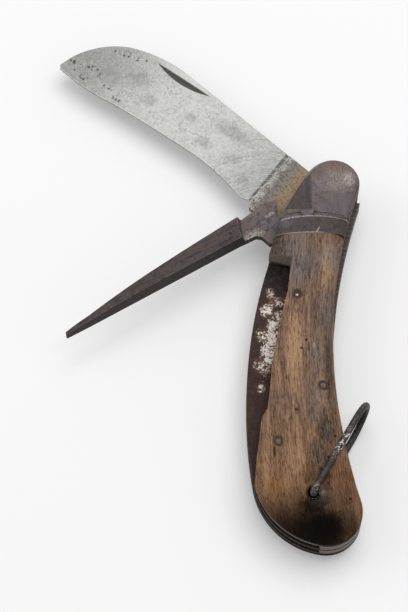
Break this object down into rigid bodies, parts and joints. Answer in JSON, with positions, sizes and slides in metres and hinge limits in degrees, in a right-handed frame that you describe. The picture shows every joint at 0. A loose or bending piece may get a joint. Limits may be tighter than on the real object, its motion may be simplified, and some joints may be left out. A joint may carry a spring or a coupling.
{
  "type": "folding clasp knife",
  "caption": "Folding clasp knife with a sheepsfoot blade, a marlinspike, wooden scales, iron bolsters and a wire bail at the butt.",
  "frame": {"origin": "on the pivot axis, in the plane of the back bolster's flat underside", "axes": "+Z along the pivot from the back scale to the front scale, +Y from the butt to the bolsters, +X towards the back springs"},
  "size_m": [0.0914, 0.1644, 0.0182],
  "materials": {
    "wood": "worn, dry, dark at the butt",
    "bolster_iron": "brown patina",
    "liner_iron": "rusted sheet",
    "spring_steel": "dark, filed",
    "blade_steel": "grey, pitted near the tip",
    "spike_steel": "brown-grey, polished by use",
    "pin_steel": "dull, ground flush",
    "bail_wire": "near black wire"
  },
  "bodies": {
    "handle": {"front_scale": "wood", "back_scale": "wood", "front_bolster": "bolster_iron", "back_bolster": "bolster_iron", "front_liner": "liner_iron", "center_liner": "liner_iron", "back_liner": "liner_iron", "blade_spring": "spring_steel", "spike_spring": "spring_steel", "pivot_pin": "pin_steel", "spring_pin": "pin_steel", "butt_pin": "pin_steel", "front_upper_rivet": "pin_steel", "front_lower_rivet": "pin_steel", "back_upper_rivet": "pin_steel", "back_lower_rivet": "pin_steel", "front_bolster_pin": "pin_steel", "back_bolster_pin": "pin_steel"},
    "blade": {"blade": "blade_steel"},
    "spike": {"spike": "spike_steel"},
    "bail": {"bail": "bail_wire"}
  },
  "joints": [
    {"name": "blade_fold", "type": "hinge", "parent": "handle", "child": "blade", "pos_m": [0, 0, 0.0075], "axis": [0, 0, 1], "range_deg": [-54, 125]},
    {"name": "spike_fold", "type": "hinge", "parent": "handle", "child": "spike", "pos_m": [0, 0, 0.0106], "axis": [0, 0, 1], "range_deg": [-107, 48.5]},
    {"name": "bail_swing", "type": "hinge", "parent": "handle", "child": "bail", "pos_m": [-0.00022, -0.0865, 0.0091], "axis": [0, 0, 1], "range_deg": [-272, 2]}
  ]
}
